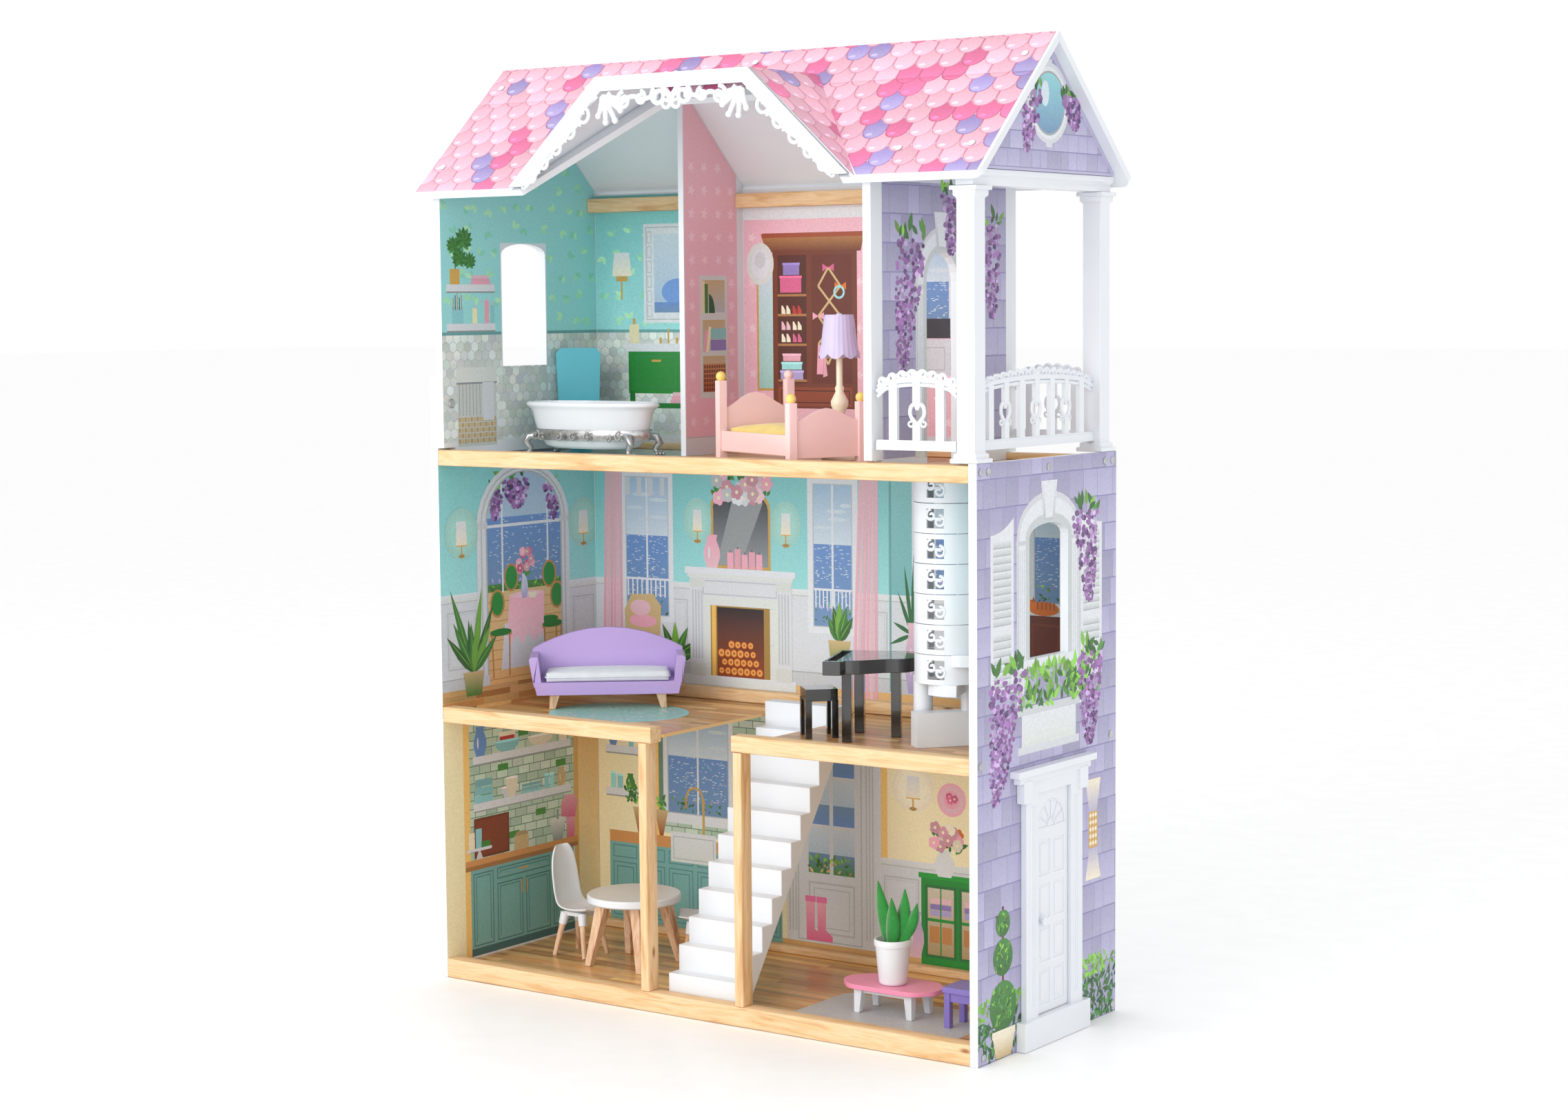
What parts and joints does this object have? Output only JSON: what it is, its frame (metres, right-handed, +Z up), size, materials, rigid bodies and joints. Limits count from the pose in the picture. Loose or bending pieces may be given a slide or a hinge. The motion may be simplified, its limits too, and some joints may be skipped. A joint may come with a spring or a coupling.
{
  "type": "wooden dollhouse",
  "caption": "Tall open-front wooden dollhouse with furnished rooms, a pitched roof with a dormer, a corner balcony, stairs and a hinged front door.",
  "frame": {"origin": "centre of the footprint (roof overhangs and dormer trim included) at the bottom", "axes": "+Z up, +X towards the balcony and front door side, +Y from the open front to the back"},
  "size_m": [0.854, 0.368, 1.1959],
  "materials": {
    "black lacquer": "gloss lacquer",
    "cream plastic": "satin",
    "green felt": "felt",
    "lavender plastic": "satin",
    "lilac paint": "satin paint",
    "pine": "planed, clear coat",
    "pink paint": "satin paint",
    "pink print": "printed, satin",
    "plank print": "printed, satin",
    "purple paint": "satin paint",
    "purple print": "printed paper on board, satin",
    "roof print": "printed, satin",
    "rose paint": "gloss paint",
    "silver plastic": "metallic lacquer",
    "tan paint": "satin paint",
    "teal plastic": "gloss",
    "wall print": "printed, satin",
    "white board": "satin paint",
    "white fabric": "soft",
    "white plastic": "moulded, slight gloss",
    "yellow fabric": "soft"
  },
  "bodies": {
    "house": {"back_panel_bath": "wall print", "back_panel_bedroom": "pink print", "back_panel_lower": "wall print", "back_rail_ground": "pine", "back_rail_mid": "pine", "back_rail_upper": "pine", "balcony_beam": "white plastic", "balcony_wall": "purple print", "column_back": "white plastic", "column_front": "white plastic", "crossbar_left": "pine", "crossbar_right": "pine", "door_frame": "white plastic", "dormer_left_cheek": "roof print", "dormer_right_cheek": "roof print", "dormer_top": "roof print", "dormer_trim": "white plastic", "front_rail_ground": "pine", "front_rail_mid_left": "pine", "front_rail_mid_right": "pine", "front_rail_upper": "pine", "gable_panel": "purple print", "ground_floor": "plank print", "left_lower_wall": "white board", "left_upper_wall": "wall print", "mid_floor": "plank print", "partition_wall": "pink print", "post_left": "pine", "post_right": "pine", "railing_back": "white plastic", "railing_front": "white plastic", "railing_side": "white plastic", "right_wall": "purple print", "roof_back": "roof print", "roof_front": "roof print", "spiral_drum": "white plastic", "spiral_treads": "white plastic", "straight_stairs": "white plastic", "upper_floor": "white board"},
    "front_door": {"door_leaf": "white plastic", "door_knob": "white plastic"},
    "bed": {"bed_frame": "pink paint", "bed_cover": "yellow fabric"},
    "bathtub": {"tub": "white plastic", "tub_stand": "silver plastic"},
    "toilet": {"toilet_base": "teal plastic"},
    "lamp": {"lamp_base": "cream plastic", "lamp_shade": "lavender plastic"},
    "sofa": {"sofa_body": "lilac paint", "sofa_cushion": "white fabric"},
    "piano": {"piano_body": "black lacquer"},
    "piano_seat": {"piano_stool": "black lacquer"},
    "table": {"dining_table": "tan paint"},
    "chair_left": {"chair_1": "white plastic"},
    "chair_right": {"chair_2": "white plastic"},
    "low_table": {"coffee_table": "rose paint"},
    "plant": {"plant_pot": "white plastic", "plant_leaves": "green felt"},
    "stool": {"side_stool": "purple paint"},
    "toilet_seat": {"toilet_lid": "white plastic"}
  },
  "joints": [
    {"name": "front_door_hinge", "type": "hinge", "parent": "house", "child": "front_door", "pos_m": [0.4163, 0.041, 0.036], "axis": [0, 0, 1], "range_deg": [0, 90]},
    {"name": "bed_lift", "type": "slide", "parent": "house", "child": "bed", "axis": [0, 0, 1], "range_m": [0, 0.03]},
    {"name": "bathtub_lift", "type": "slide", "parent": "house", "child": "bathtub", "axis": [0, 0, 1], "range_m": [0, 0.03]},
    {"name": "toilet_lift", "type": "slide", "parent": "house", "child": "toilet", "axis": [0, 0, 1], "range_m": [0, 0.03]},
    {"name": "lamp_lift", "type": "slide", "parent": "house", "child": "lamp", "axis": [0, 0, 1], "range_m": [0, 0.03]},
    {"name": "sofa_lift", "type": "slide", "parent": "house", "child": "sofa", "axis": [0, 0, 1], "range_m": [0, 0.03]},
    {"name": "piano_lift", "type": "slide", "parent": "house", "child": "piano", "axis": [0, 0, 1], "range_m": [0, 0.03]},
    {"name": "piano_seat_lift", "type": "slide", "parent": "house", "child": "piano_seat", "axis": [0, 0, 1], "range_m": [0, 0.01]},
    {"name": "table_lift", "type": "slide", "parent": "house", "child": "table", "axis": [0, 0, 1], "range_m": [0, 0.01]},
    {"name": "chair_left_lift", "type": "slide", "parent": "house", "child": "chair_left", "axis": [0, 0, 1], "range_m": [0, 0.01]},
    {"name": "chair_right_lift", "type": "slide", "parent": "house", "child": "chair_right", "axis": [0, 0, 1], "range_m": [0, 0.01]},
    {"name": "low_table_lift", "type": "slide", "parent": "house", "child": "low_table", "axis": [0, 0, 1], "range_m": [0, 0.03]},
    {"name": "plant_lift", "type": "slide", "parent": "low_table", "child": "plant", "axis": [0, 0, 1], "range_m": [0, 0.03]},
    {"name": "stool_lift", "type": "slide", "parent": "house", "child": "stool", "axis": [0, 0, 1], "range_m": [0, 0.03]},
    {"name": "toilet_seat_hinge", "type": "hinge", "parent": "toilet", "child": "toilet_seat", "pos_m": [-0.35845, 0.07195, 0.7396], "axis": [-0.7071, -0.7071, 0], "range_deg": [0, 90]}
  ]
}
